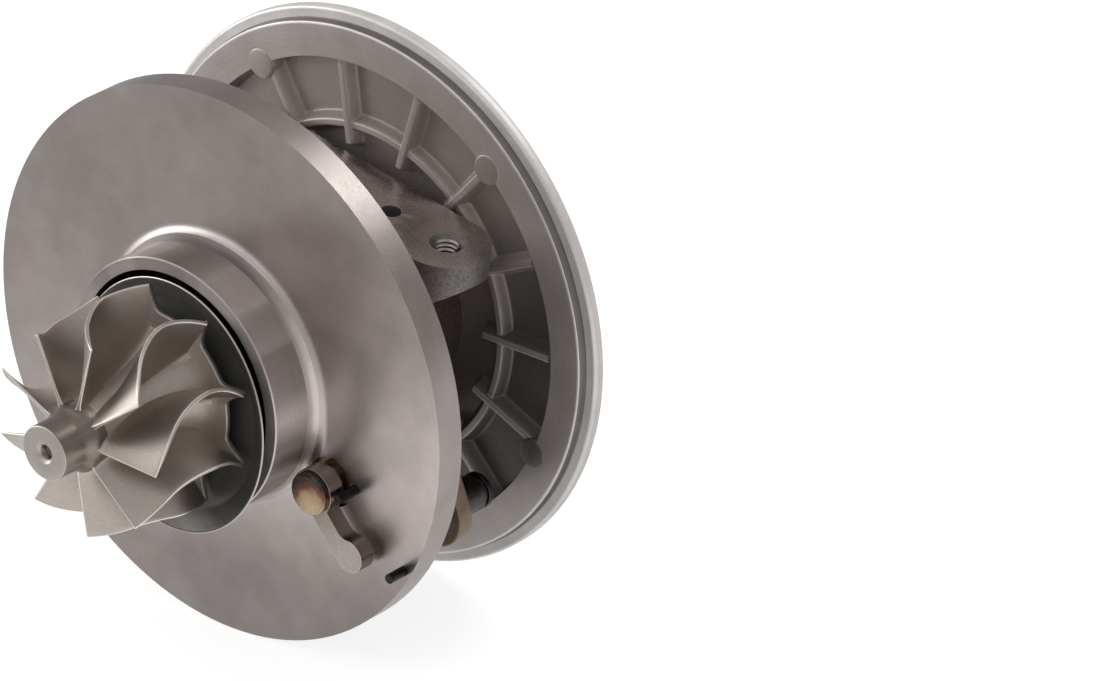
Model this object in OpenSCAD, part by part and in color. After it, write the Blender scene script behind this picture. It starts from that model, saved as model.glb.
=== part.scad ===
// Turbocharger centre cartridge with vane crank, all sizes in millimetres.
// Row frame: shaft axis along Y, turbine end toward -Y, oil feed pad up (+Z),
// origin on the shaft axis in the front face of the round turbine flange.

/* [Turbine flange] */
// Radius of the round turbine flange
flange_r = 58; // [54:0.5:62]
// Thickness of the turbine flange
flange_t = 6.4; // [5.6:0.2:7.2]
// Outer radius of the collar round the turbine wheel
collar_r = 27; // [26.4:0.1:28]
// Bore radius of that collar
collar_bore_r = 24.3; // [24:0.1:24.8]
// Length of the collar in front of the flange
collar_len = 12.2; // [11.6:0.2:13.4]
// Fillet radius where the collar meets the flange
collar_fillet = 3; // [1.5:0.5:4]

/* [Heat shield] */
// Lip radius of the heat shield bowl
shield_r = 26; // [25.6:0.1:26.4]
// Sheet thickness of the heat shield
shield_t = 0.8; // [0.6:0.1:1]
// How far the loose shield has sunk off the shaft axis, 0 when clamped
shield_drop = 2.9; // [0:0.1:2.9]
// Lean of the loose shield in degrees, 0 when clamped
shield_lean = 5.1; // [0:0.1:5.1]

/* [Turbine wheel] */
// Number of turbine blades
tw_blades = 9; // [7:1:11]
// Blade tip radius at the outlet end of the wheel
tw_out_r = 21.1; // [19.5:0.1:21.8]
// Blade tip radius at the inlet end of the wheel
tw_in_r = 22.9; // [22.2:0.1:23.4]
// Axial length of the turbine blades
tw_len = 24; // [21:0.5:27]
// Blade wrap angle in degrees
tw_wrap = 30.8; // [22:0.4:36]
// Depth of the scallops between the blades
tw_scallop = 5.6; // [3.6:0.2:6.4]
// Radius of the hub nose
tw_nose_r = 5.7; // [5:0.1:6.2]
// Length of the hub nose in front of the blades
tw_nose_len = 8.6; // [6:0.2:10]

/* [Compressor wheel] */
// Outer radius of the compressor wheel
cw_r = 28; // [26:0.5:30]
// Blade tip radius at the air inlet
cw_in_r = 19.6; // [18:0.2:21]
// Axial length of the compressor wheel
cw_len = 23; // [20:0.5:26]
// Number of full blades, with one short blade after each
cw_blades = 6; // [5:1:7]

/* [Shaft and bearings] */
// Radius of the shaft in the journal bearing
journal_r = 4; // [3.6:0.1:4.2]
// Radius of the compressor end of the shaft
stub_r = 2.75; // [2.5:0.05:2.9]
// Radius of the shaft's sealing hub behind the turbine wheel
hub_r = 8; // [7.6:0.1:8.4]
// Outer radius of the journal bearing
bearing_r = 7; // [6.6:0.1:7.4]
// Radius of the thrust bearing
thrust_r = 20.2; // [19.6:0.1:20.4]

/* [Bearing housing] */
// Radius of the cast barrel
barrel_r = 23.5; // [22.8:0.1:24]
// Radius of the four bosses that take the backplate screws
screw_boss_r = 4.8; // [4.6:0.1:5]

/* [Oil feed pad] */
// Height of the feed pad face above the shaft axis
feed_z = 29.3; // [28.4:0.1:30.2]
// Distance between the two feed flange bolts
feed_pitch = 55; // [53:0.5:57]
// Distance between the two oil drillings of the pad
feed_hole_pitch = 25.7; // [24.5:0.1:26.5]
// Tapping radius of the flange bolt holes
bolt_r = 2.5; // [2.1:0.1:2.8]
// Distance of the pad's centre line from the flange face
feed_y = 32.4; // [32:0.1:32.7]

/* [Oil drain pad] */
// Depth of the drain pad face below the shaft axis
drain_z = 34; // [33:0.5:36]
// Radius of the drain bore
drain_r = 7.8; // [7:0.1:8.4]
// Distance between the two drain flange bolts
drain_pitch = 52.8; // [51:0.2:54]

/* [Backplate] */
// Outer radius of the backplate
plate_r = 59.2; // [58:0.2:61]
// Distance of the backplate's rim face from the flange face
plate_y = 42.8; // [42.4:0.1:43.4]
// Outer radius of the backplate's pockets
pocket_r = 49.4; // [48.6:0.1:50.6]
// Depth of the backplate's pockets
pocket_depth = 3.5; // [3:0.1:4]
// Number of ribs of the backplate
ribs = 15; // [12:1:18]
// Radius of the round ridge that crosses the ribs
ridge_r = 35.2; // [34.6:0.1:36]
// Radius of the compressor cover pilot
pilot_r = 55.4; // [54.4:0.1:55.8]
// Radius of the spigot that carries the cover O-ring
spigot_r = 45; // [43.5:0.5:46]

/* [Vane crank] */
// Distance of the crank axis from the shaft axis
crank_dist = 33.7; // [33.3:0.1:34.5]
// Direction of the crank axis in degrees
crank_dir = -18.2; // [-22:0.1:-14]
// Radius of the crank shaft
crank_r = 4; // [3.6:0.1:4.2]
// Length of the inner lever
lever_len = 14.3; // [12.5:0.1:15.5]
// Length of the outer arm
arm_len = 16.1; // [14:0.1:17]
// Radius of the actuator stud
stud_r = 3.8; // [3.4:0.1:4.2]

/* [Hidden] */
$fn = 72;

// Clearances
run_gap = 0.04;
free_gap = 0.3;

// Stations along the shaft
lip_y = -collar_len - 2.4;
wheel_y = lip_y;
tw_out_y = wheel_y - 1 - tw_len;
nose_y = tw_out_y - tw_nose_len;
cavity_y = 0.5;
boss_y = -collar_len + 2.9;
shield_deep = 2.6;
shield_in_r = 12.5;
sink_dir = -59.7;
lean_dir = 140.7;
hub_end_y = -4.5;
bearing_y = 0;
step_y = plate_y - 9.2;
bearing_end_y = step_y - 2 * free_gap;
bearing_len = bearing_end_y - bearing_y;
collar_flange_t = 2.6;
recess_y = step_y + collar_flange_t + free_gap;
thrust_t = 3;
thrust_end_y = recess_y + thrust_t;
flinger_y = thrust_end_y + free_gap;
floor_y = plate_y + pocket_depth;
rear_y = floor_y;
chamber_y = plate_y + 1;
band_y = plate_y + 4.5;
back_y = plate_y + 7.7;
face_y = plate_y + 12.9;
cw_y = face_y + 0.5;
cw_end_y = cw_y + cw_len;
nut_len = 5.5;
shaft_end_y = cw_end_y + nut_len + 2;

// Seal rings
ring_t = 1.2;
ring_w = 1.6;
tseal_y = boss_y + 0.7;
cseal_y = plate_y + 7;
seal_bore_r = hub_r + free_gap;
groove_r = hub_r - ring_w;
sleeve_r = 7.4;
plate_bore_r = sleeve_r + free_gap;

// Backplate joint
screw_r = 2.4;
screw_head_r = 4.2;
screw_pcd_r = 25.2;
screw_tip_y = plate_y - 8.2;
screws = 4;
head_y = face_y - 4.8;
chamber_r = 11;
rib_in_r = ridge_r - 4.4;
rib_y = plate_y + 0.4;
ridge_y = plate_y + 1.1;
crest = 0.6;
draft = 1.1;

// Crank
crank_x = crank_dist * cos(crank_dir);
crank_z = crank_dist * sin(crank_dir);
bush_r = crank_r + 1.3;
bush_y = 1.5;
crank_boss_r = bush_r + 3;
crank_boss_y = 22;
lever_dir = -41.5;
lever_y = -5.5;
lever_t = 3.7;
lever_neck = 0.76;
finger_r = 3.45;
lever_fillet = 3;
fillet_x = lever_len - sqrt(pow(finger_r + lever_fillet, 2) - pow(lever_neck + lever_fillet, 2));
fillet_z = lever_neck + lever_fillet;
arm_dir = -62.6;
arm_y = 24;
arm_t = 3.9;
arm_hub_r = 6.2;
arm_end_r = 7;
stud_end_y = 38.2;

// Pad ends and gasket faces
feed_w = 9.6;
lug_in = 0.9;
drain_y = 20;
drain_w = 11;
drain_right = 21.4;
drain_left = drain_pitch - drain_right;
dowel_r = 1;
dowel_seat_r = 0.8;
dowel_in = 4;
stop_out = 5.3;
locate_out = 4.4;
wheel_dir = 45;
rib_dir = 57.5;
boss_turns = [-0.3, 73.7, 144.4, 215, 285.7];
collar_flange_r = 9;
collar_neck_r = 6;
flinger_r = 9.5;

// Solid of revolution about the shaft axis from [radius, y] points
module rev(pts) {
  rotate([-90, 0, 0])
    rotate_extrude()
      polygon(pts);
}

// Cylinder along the shaft axis between two stations
module rod(r, y0, y1) {
  translate([0, y0, 0])
    rotate([-90, 0, 0])
      cylinder(r = r, h = y1 - y0);
}

// Turn from the X axis to direction a, seen from the turbine end
module turn(a) {
  rotate([0, -a, 0])
    children();
}

// Place at the crank axis, turned to direction a
module at_crank(a = 0) {
  translate([crank_x, 0, crank_z])
    turn(a)
      children();
}

// Flat outline drawn in X and Z, thickened from y0 to y1
module slab(y0, y1) {
  translate([0, y1, 0])
    rotate([90, 0, 0])
      linear_extrude(height = y1 - y0)
        children();
}

// Concave quarter fillet points from the collar to the flange
function fillet_pts(r, f, n) =
  [for (i = [0:n]) [r + f - f * cos(90 * i / n), -f + f * sin(90 * i / n)]];

// Point at radius r, direction a and station y
function polar(r, a, y) = [r * cos(a), y, r * sin(a)];
function mix(a, b, s) = a + (b - a) * s;
function ease(s) = s <= 0 ? 0 : s >= 1 ? 1 : s * s * (3 - 2 * s);
function unit(v) = v / norm(v);

// Turbine blade camber surface, t from outlet to back, s from hub to tip
function tw_hub(y) =
  let (s = max(0, min(1, (y - tw_out_y) / tw_len)))
  7 + 10.4 * (1 - sqrt(1 - pow(0.985 * s, 2.6)));
function tw_tip(y) = mix(tw_out_r, tw_in_r, ease((y - tw_out_y - 0.27 * tw_len) / (0.4 * tw_len)));
function tw_ang(t) = tw_wrap * (1 - pow(1 - t / 0.64, 2));
function tw_at(t, s) =
  let (y = mix(tw_out_y - 0.8 * (1 - s) * (1 - t), wheel_y - 0.6, t))
  polar(mix(tw_hub(y) - 0.9, tw_tip(y), s), tw_ang(t), y);

// Compressor blade camber surface, t from inlet to rim, s from hub to tip
function cw_at(t, s) =
  let (
    hy = cw_end_y - 1.5 - (cw_len - 3) * sin(90 * t),
    hr = 6.2 + (cw_r - 6.2) * (1 - cos(90 * t)),
    ty = cw_end_y - 2.2 - (cw_len - 6.6) * sin(90 * t),
    tr = cw_in_r + (cw_r - cw_in_r) * (1 - cos(90 * t))
  )
  polar(mix(hr - 0.7 * (1 - t), tr, s), 62 * pow(max(0, 1 - t), 1.7) - 26 * t * t, mix(hy - 0.9, ty, s));

// Grid of offset points on one side of a blade
function blade_side(kind, t0, n, m, th0, th1, side) =
  [for (i = [0:n]) for (j = [0:m])
    let (
      t = mix(t0, 1, i / n),
      s = j / m,
      e = 0.01,
      p = kind == 0 ? tw_at(t, s) : cw_at(t, s),
      u = (kind == 0 ? tw_at(t + e, s) : cw_at(t + e, s)) - (kind == 0 ? tw_at(t - e, s) : cw_at(t - e, s)),
      v = (kind == 0 ? tw_at(t, s + e) : cw_at(t, s + e)) - (kind == 0 ? tw_at(t, s - e) : cw_at(t, s - e))
    )
    p + side * 0.5 * mix(th0, th1, s) * unit(cross(u, v))];

// One blade as a closed solid between its two sides
module blade(kind, t0, n, m, th0, th1) {
  a = blade_side(kind, t0, n, m, th0, th1, 1);
  b = blade_side(kind, t0, n, m, th0, th1, -1);
  k = (n + 1) * (m + 1);
  w = m + 1;
  top = [for (i = [0:n - 1]) for (j = [0:m - 1]) for (h = [0, 1])
    h == 0 ? [i * w + j, i * w + j + 1, i * w + w + j] : [i * w + j + 1, i * w + w + j + 1, i * w + w + j]];
  low = [for (f = top) [f[2] + k, f[1] + k, f[0] + k]];
  ring = concat(
    [for (j = [0:m - 1]) j],
    [for (i = [0:n - 1]) i * w + m],
    [for (j = [0:m - 1]) n * w + m - j],
    [for (i = [0:n - 1]) (n - i) * w]);
  c = len(ring);
  wall = [for (i = [0:c - 1]) for (h = [0, 1])
    let (p = ring[i], q = ring[(i + 1) % c])
    h == 0 ? [q, p, p + k] : [q, p + k, q + k]];
  polyhedron(points = concat(a, b), faces = concat(top, low, wall));
}

// Turbine wheel: hub, scalloped back disc and wrapped blades
module turbine_wheel() {
  color("DimGray")
  union() {
    difference() {
      rev(concat(
        [[0, nose_y], [tw_nose_r - 0.5, nose_y], [tw_nose_r, nose_y + 0.5], [tw_nose_r, tw_out_y - 2.2]],
        [for (i = [0:10]) let (y = mix(tw_out_y - 1, wheel_y - 1.4, i / 10)) [tw_hub(y), y]],
        [[tw_in_r, wheel_y - 1.1], [tw_in_r, wheel_y], [0, wheel_y]]));
      for (i = [0:tw_blades - 1])
        turn(wheel_dir + 22.5 + (i + 0.5) * 360 / tw_blades)
          translate([tw_in_r - tw_scallop + 7, 0, 0])
            rod(7, wheel_y - 9, wheel_y + 1);
      rod(2, nose_y - 1, nose_y + 1.2);
    }
    for (i = [0:tw_blades - 1])
      turn(wheel_dir + i * 360 / tw_blades)
        blade(0, 0, 9, 3, 1.9, 0.8);
  }
}

// Compressor wheel: hub with full and short blades
module compressor_wheel() {
  color("Silver")
  difference() {
    union() {
      rev(concat(
        [[0, cw_y], [cw_r - 0.4, cw_y], [cw_r, cw_y + 0.4], [cw_r, cw_y + 1]],
        [for (i = [0:10]) let (t = 1 - i / 10)
          [6.2 + (cw_r - 6.2) * (1 - cos(90 * t)), cw_end_y - 0.6 - (cw_len - 1.7) * sin(90 * t)]],
        [[0, cw_end_y - 0.6]]));
      rod(5.4, cw_end_y - 2, cw_end_y);
      for (i = [0:cw_blades - 1]) {
        turn(i * 360 / cw_blades)
          blade(1, 0, 9, 3, 1.3, 0.7);
        turn((i + 0.5) * 360 / cw_blades)
          blade(1, 0.34, 6, 3, 1.3, 0.7);
      }
    }
    rod(stub_r, cw_y - 1, cw_end_y + 1);
  }
}

// Bolt hole with a small mouth chamfer, drilled down from the pad face
module tapped(depth) {
  translate([0, 0, -depth])
    cylinder(r = bolt_r, h = depth + 1);
  translate([0, 0, -1])
    cylinder(r1 = bolt_r, r2 = bolt_r + 1.05, h = 1.05);
}

// Plan outline of the feed pad
module feed_plan() {
  square([feed_pitch - 2 * lug_in, 2 * feed_w], center = true);
  for (sx = [-1, 1])
    translate([sx * (feed_pitch / 2 - lug_in), 0])
      circle(r = feed_w);
}

// Feed pad with its sloping underside
module feed_pad() {
  intersection() {
    translate([0, feed_y, 0])
      linear_extrude(height = feed_z)
        feed_plan();
    slab(feed_y - feed_w, feed_y + feed_w)
      polygon([[-40, feed_z], [40, feed_z], [40, feed_z - 5], [36.6, feed_z - 5],
        [20, 12], [12, 0], [-12, 0], [-20, 12], [-36.6, feed_z - 5], [-40, feed_z - 5]]);
  }
}

// Drain pad under the barrel
module drain_pad() {
  translate([0, drain_y, -drain_z])
    linear_extrude(height = 6) {
      circle(r = drain_w + 1.5);
      translate([-drain_left, -7])
        square([drain_pitch, 14]);
      translate([drain_right, 0])
        circle(r = 7);
      translate([-drain_left, 0])
        circle(r = 7);
    }
  translate([0, drain_y, -drain_z + 1])
    cylinder(r = drain_w + 1.5, h = drain_z - 6);
}

// Oil ways inside the housing
module oil_ways() {
  rod(11, bearing_y + 9, bearing_y + 24);
  rod(10.4, -3, bearing_y);
  rod(10, bearing_end_y, recess_y + 0.1);
  translate([-4.5, -2.5, -19])
    cube([9, 37, 7]);
  translate([-4.5, -2.5, -19])
    cube([9, 2.3, 14]);
  translate([-4.5, bearing_end_y, -19])
    cube([9, 2.5, 14]);
  translate([0, drain_y, -drain_z - 1])
    cylinder(r = drain_r, h = drain_z - 7);
  for (sx = [-1, 1])
    translate([sx * feed_hole_pitch / 2, feed_y, feed_z - 14])
      cylinder(r = 2.1, h = 15);
  translate([-feed_hole_pitch / 2, feed_y, feed_z - 13.5])
    rotate([0, 90, 0])
      cylinder(r = 2, h = feed_hole_pitch);
  translate([0, 0, feed_z - 13.5])
    rod(2, bearing_y + 3, feed_y);
  for (dy = [4.5, bearing_len - 4.5])
    translate([0, bearing_y + dy, 0])
      cylinder(r = 1.5, h = feed_z - 13.5);
}

// Bearing housing: flange disc, collar, barrel, pads and crank boss
module bearing_housing() {
  color("Gray")
  difference() {
    union() {
      rev(concat(
        [[collar_bore_r, cavity_y], [collar_bore_r, -collar_len], [collar_r - 0.25, -collar_len],
          [collar_r, 0.25 - collar_len]],
        fillet_pts(collar_r, collar_fillet, 6),
        [[flange_r, 0], [flange_r, flange_t], [barrel_r + 4, flange_t], [barrel_r, flange_t + 4],
          [barrel_r, rear_y], [0, rear_y],
          [0, boss_y], [13.5, boss_y], [14, boss_y + 0.5], [14, cavity_y]]));
      for (i = [0:screws - 1])
        turn((i + 0.5) * 360 / screws)
          translate([screw_pcd_r, 0, 0])
            rod(screw_boss_r, screw_tip_y - 3, rear_y);
      feed_pad();
      drain_pad();
      translate([crank_x, 0, crank_z])
        rod(crank_boss_r, flange_t - 1, crank_boss_y);
      turn(crank_dir)
        translate([barrel_r - 4, flange_t - 1, -4])
          cube([crank_dist - barrel_r, crank_boss_y - flange_t - 3, 8]);
    }
    rod(seal_bore_r, boss_y - 1, -1);
    rod(bearing_r + run_gap, -1, bearing_end_y + 1);
    rod(thrust_r, recess_y, rear_y + 1);
    oil_ways();
    for (sx = [-1, 1])
      translate([sx * feed_pitch / 2, feed_y, feed_z])
        tapped(14);
    for (x = [drain_right, -drain_left])
      translate([x, drain_y, -drain_z])
        rotate([180, 0, 0])
          tapped(8);
    at_crank()
      rod(bush_r, -1, crank_boss_y + 1);
    for (i = [0:screws - 1])
      turn((i + 0.5) * 360 / screws)
        translate([screw_pcd_r, 0, 0])
          rod(screw_r, screw_tip_y, rear_y + 1);
    stop_place()
      rod(dowel_seat_r, -1, dowel_in);
    locate_place()
      rod(dowel_seat_r, -1, dowel_in);
    translate([-barrel_r - 2, bearing_y + bearing_len / 2, 0])
      rotate([0, 90, 0])
        cylinder(r = 1.5, h = barrel_r, $fn = 24);
  }
}

// Places of the two dowels in the flange face
module stop_place() {
  turn(-13.3)
    translate([39.3, 0, 0])
      children();
}
module locate_place() {
  turn(-21.35)
    translate([flange_r - 1.7, 0, 0])
      children();
}

// Pressed sheet bowl that shields the housing from the turbine wheel, lying loose in the collar
module heat_shield() {
  color("DarkSlateGray")
  turn(sink_dir)
    translate([shield_drop, lip_y, 0])
      turn(lean_dir - sink_dir)
        rotate([0, 0, shield_lean])
          rev([[shield_in_r, shield_deep], [shield_r - 4.5, shield_deep], [shield_r - shield_t / 2, 0],
            [shield_r, 0.3], [shield_r - 4.1, shield_deep + shield_t],
            [shield_in_r, shield_deep + shield_t]]);
}

// One piece journal bearing with oil holes and a waisted middle
module journal_bearing() {
  color("Peru")
  difference() {
    rev([[journal_r + run_gap, bearing_y], [bearing_r - 0.4, bearing_y], [bearing_r, bearing_y + 0.4],
      [bearing_r, bearing_y + 9], [bearing_r - 0.9, bearing_y + 9.5], [bearing_r - 0.9, bearing_end_y - 9.5],
      [bearing_r, bearing_end_y - 9], [bearing_r, bearing_end_y - 0.4], [bearing_r - 0.4, bearing_end_y],
      [journal_r + run_gap, bearing_end_y], [journal_r + run_gap, bearing_end_y - 9],
      [journal_r + 0.6, bearing_end_y - 9.5], [journal_r + 0.6, bearing_y + 9.5],
      [journal_r + run_gap, bearing_y + 9]]);
    for (dy = [4.5, bearing_len - 4.5])
      translate([0, bearing_y + dy, 0])
        cylinder(r = 1.2, h = bearing_r + 1, $fn = 24);
    translate([0, bearing_y + bearing_len / 2, -bearing_r - 1])
      cylinder(r = 2.6, h = bearing_r, $fn = 24);
    translate([-bearing_r - 1, bearing_y + bearing_len / 2, 0])
      rotate([0, 90, 0])
        cylinder(r = 1.5, h = 3, $fn = 24);
  }
}

// Pin that stops the journal bearing turning
module bearing_pin() {
  color("Silver")
  translate([-barrel_r + 0.4, bearing_y + bearing_len / 2, 0])
    rotate([0, 90, 0])
      cylinder(r = 1.5, h = barrel_r - bearing_r + 0.8, $fn = 24);
}

// Thrust bearing plate with oil pads
module thrust_bearing() {
  color("Peru")
  difference() {
    rod(thrust_r, recess_y, thrust_end_y);
    rod(collar_neck_r + free_gap, recess_y - 1, thrust_end_y + 1);
    for (i = [0:2])
      turn(90 + 120 * i)
        translate([9.2, recess_y - 1, -0.6])
          cube([1.2, thrust_t + 2, 1.2]);
    translate([-5, recess_y - 1, -thrust_r - 1])
      cube([10, thrust_t + 2, 8]);
  }
}

// Split seal ring that rests in its bore and runs in the shaft groove
module seal_ring(r, y) {
  difference() {
    rev([[r - ring_w, y], [r, y], [r, y + ring_t], [r - ring_w, y + ring_t]]);
    translate([0, y - 1, -0.2])
      cube([r + 1, ring_t + 2, 0.4]);
  }
}
module turbine_seal_ring() {
  color("SlateGray")
  seal_ring(seal_bore_r, tseal_y);
}
module compressor_seal_ring() {
  color("SlateGray")
  seal_ring(plate_bore_r, cseal_y);
}

// Backplate rib with drafted sides, drawn along X
module rib() {
  foot = crest + draft * (floor_y + 0.5 - rib_y) / (floor_y - rib_y);
  translate([rib_in_r, 0, 0])
    rotate([90, 0, 90])
      linear_extrude(height = pocket_r - rib_in_r + 2)
        polygon([[rib_y, -crest], [floor_y + 0.5, -foot], [floor_y + 0.5, foot], [rib_y, crest]]);
}

// Cast backplate with ribbed pockets, rim, pilot and cover spigot
module backplate() {
  color("LightGray")
  difference() {
    union() {
      rev([[plate_bore_r, chamber_y], [chamber_r, chamber_y], [chamber_r, thrust_end_y],
        [thrust_r - 1.6, thrust_end_y], [thrust_r - 1.6, thrust_end_y + 0.8],
        [thrust_r - 1.6, thrust_end_y + 2.2], [thrust_r, thrust_end_y + 2.2], [thrust_r, rear_y],
        [ridge_r - crest - draft, floor_y], [ridge_r - crest, ridge_y], [ridge_r + crest, ridge_y],
        [ridge_r + crest + draft, floor_y], [pocket_r - 0.9, floor_y], [pocket_r, plate_y],
        [plate_r - 2.8, plate_y], [plate_r - 2.6, plate_y + 0.2],
        [plate_r - 2.6, plate_y + 1.8], [plate_r - 0.5, plate_y + 2.05], [plate_r, plate_y + 2.5],
        [plate_r, band_y - 0.3], [plate_r - 0.3, band_y], [pilot_r, band_y], [pilot_r, back_y - 0.5],
        [pilot_r - 0.5, back_y], [spigot_r, back_y], [spigot_r, back_y + 0.8], [spigot_r - 1.7, back_y + 0.8],
        [spigot_r - 1.7, back_y + 3.3], [spigot_r, back_y + 3.3], [spigot_r, face_y - 0.5],
        [spigot_r - 0.5, face_y], [plate_bore_r, face_y]]);
      for (i = [0:ribs - 1])
        turn(rib_dir + i * 360 / ribs)
          rib();
      for (a = boss_turns)
        turn(rib_dir + a)
          translate([pocket_r + 0.2, 0, 0])
            rod(3.3, plate_y - 0.2, floor_y + 0.5);
    }
    for (i = [0:screws - 1])
      turn((i + 0.5) * 360 / screws)
        translate([screw_pcd_r, 0, 0]) {
          rod(screw_r + 0.3, rear_y - 1, head_y + 1);
          rod(screw_head_r + 0.4, head_y, face_y + 1);
        }
  }
}

// Seal between the backplate and the housing recess
module backplate_seal() {
  color("DarkSlateGray")
  rev([[thrust_r - 1.6, thrust_end_y + 0.8], [thrust_r, thrust_end_y + 0.8], [thrust_r, thrust_end_y + 2.2],
    [thrust_r - 1.6, thrust_end_y + 2.2]]);
}

// Four socket screws that hold the backplate
module backplate_screws() {
  color("DimGray")
  for (i = [0:screws - 1])
    turn((i + 0.5) * 360 / screws)
      translate([screw_pcd_r, 0, 0])
        difference() {
          union() {
            rod(screw_r, screw_tip_y, head_y + 0.5);
            rod(screw_head_r, head_y, head_y + 4.2);
          }
          translate([0, head_y + 2, 0])
            rotate([-90, 0, 0])
              cylinder(r = 2.3, h = 4, $fn = 6);
        }
}

// O-ring on the compressor cover spigot
module cover_o_ring() {
  color("Brown")
  translate([0, back_y + 2.05, 0])
    rotate([-90, 0, 0])
      rotate_extrude()
        translate([spigot_r - 0.7, 0])
          circle(r = 1, $fn = 24);
}

// Crank bush pressed through the flange
module crank_bush() {
  color("Peru")
  at_crank()
    difference() {
      rod(bush_r, bush_y, crank_boss_y + 0.6);
      rod(crank_r + run_gap, -1, crank_boss_y + 2);
    }
}

// Dowels in the flange face, each with a thinner seat in its hole
module dowel(out) {
  rod(dowel_r, -out, 0);
  rod(dowel_seat_r, -1, dowel_in);
}
module stop_dowel() {
  color("DimGray")
  stop_place()
    dowel(stop_out);
}
module locating_dowel() {
  color("DimGray")
  locate_place()
    dowel(locate_out);
}

// Turbine shaft with seal hub, ring groove and stepped compressor end
module rotor_shaft() {
  color("Silver")
  rev([[0, wheel_y], [hub_r, wheel_y], [hub_r, tseal_y - free_gap], [groove_r, tseal_y - free_gap],
    [groove_r, tseal_y + ring_t + free_gap], [hub_r, tseal_y + ring_t + free_gap], [hub_r, hub_end_y],
    [journal_r, hub_end_y], [journal_r, 9.5], [journal_r - 0.2, 10],
    [journal_r - 0.2, 23], [journal_r, 23.5], [journal_r, step_y], [stub_r, step_y],
    [stub_r, shaft_end_y - 0.6], [stub_r - 0.6, shaft_end_y], [0, shaft_end_y]]);
}

// Thrust collar on the shaft step
module thrust_collar() {
  color("Silver")
  rev([[stub_r, step_y], [collar_flange_r, step_y], [collar_flange_r, step_y + collar_flange_t],
    [collar_neck_r, step_y + collar_flange_t], [collar_neck_r, flinger_y], [stub_r, flinger_y]]);
}

// Oil flinger sleeve with its seal ring groove
module oil_flinger() {
  color("Silver")
  rev([[stub_r, flinger_y], [flinger_r, flinger_y], [flinger_r, flinger_y + 2], [sleeve_r, flinger_y + 3],
    [sleeve_r, cseal_y - free_gap], [sleeve_r - ring_w, cseal_y - free_gap],
    [sleeve_r - ring_w, cseal_y + ring_t + free_gap], [sleeve_r, cseal_y + ring_t + free_gap],
    [sleeve_r, cw_y], [stub_r, cw_y]]);
}

// Compressor wheel lock nut
module lock_nut() {
  color("DimGray")
  difference() {
    union() {
      rod(5.4, cw_end_y, cw_end_y + 1.2);
      translate([0, cw_end_y + 1, 0])
        rotate([-90, 0, 0])
          cylinder(r = 5, h = nut_len - 1, $fn = 6);
    }
    rod(stub_r, cw_end_y - 1, cw_end_y + nut_len + 1);
  }
}

// Crank shaft with the peened head on the turbine side
module crank_shaft() {
  color("DarkGoldenrod")
  at_crank()
    rev([[0, lever_y - 1.5], [crank_r, lever_y - 1.5], [crank_r + 0.4, lever_y - 1.1],
      [crank_r + 0.4, lever_y], [crank_r, lever_y], [crank_r, arm_y + arm_t + 0.6],
      [0, arm_y + arm_t + 0.6]]);
}

// Outline of the inner lever with a round corner before its finger
module lever_plan() {
  circle(r = crank_r + 0.8);
  translate([lever_len, 0])
    circle(r = finger_r);
  translate([0, -3.3])
    square([lever_len, lever_neck + 3.3]);
  k = finger_r / (finger_r + lever_fillet);
  difference() {
    polygon([[fillet_x, 0], [lever_len, 0], [mix(lever_len, fillet_x, k), fillet_z * k],
      [fillet_x, fillet_z]]);
    translate([fillet_x, fillet_z])
      circle(r = lever_fillet);
  }
}

// Inner lever that moves the vane ring
module inner_lever() {
  color("Tan")
  at_crank(lever_dir)
    difference() {
      slab(lever_y, lever_y + lever_t)
        lever_plan();
      rod(crank_r, lever_y - 1, lever_y + lever_t + 1);
    }
}

// Outer arm that carries the actuator stud
module outer_arm() {
  color("Tan")
  at_crank(arm_dir)
    difference() {
      slab(arm_y, arm_y + arm_t) {
        circle(r = arm_hub_r);
        translate([arm_len, 0])
          circle(r = arm_end_r);
        polygon([[0, -arm_hub_r], [arm_len, -arm_end_r], [arm_len, arm_end_r], [0, arm_hub_r]]);
      }
      rod(crank_r, arm_y - 1, arm_y + arm_t + 1);
      translate([arm_len, 0, 0])
        rod(2, arm_y - 1, arm_y + arm_t + 1);
    }
}

// Stud for the actuator rod, with its clip groove
module actuator_stud() {
  color("DimGray")
  at_crank(arm_dir)
    translate([arm_len, 0, 0])
      rev([[0, arm_y], [2, arm_y], [2, arm_y + arm_t], [stud_r, arm_y + arm_t], [stud_r, stud_end_y - 2.4],
        [stud_r - 0.7, stud_end_y - 2.4], [stud_r - 0.7, stud_end_y - 1.5], [stud_r, stud_end_y - 1.5],
        [stud_r, stud_end_y - 0.5], [stud_r - 0.5, stud_end_y], [0, stud_end_y]]);
}

bearing_housing();
heat_shield();
journal_bearing();
bearing_pin();
thrust_bearing();
turbine_seal_ring();
compressor_seal_ring();
backplate();
backplate_seal();
backplate_screws();
cover_o_ring();
crank_bush();
stop_dowel();
locating_dowel();
turbine_wheel();
rotor_shaft();
thrust_collar();
oil_flinger();
compressor_wheel();
lock_nut();
crank_shaft();
inner_lever();
outer_arm();
actuator_stud();
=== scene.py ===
import math

import bmesh
import bpy
from mathutils import Matrix, Vector


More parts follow.
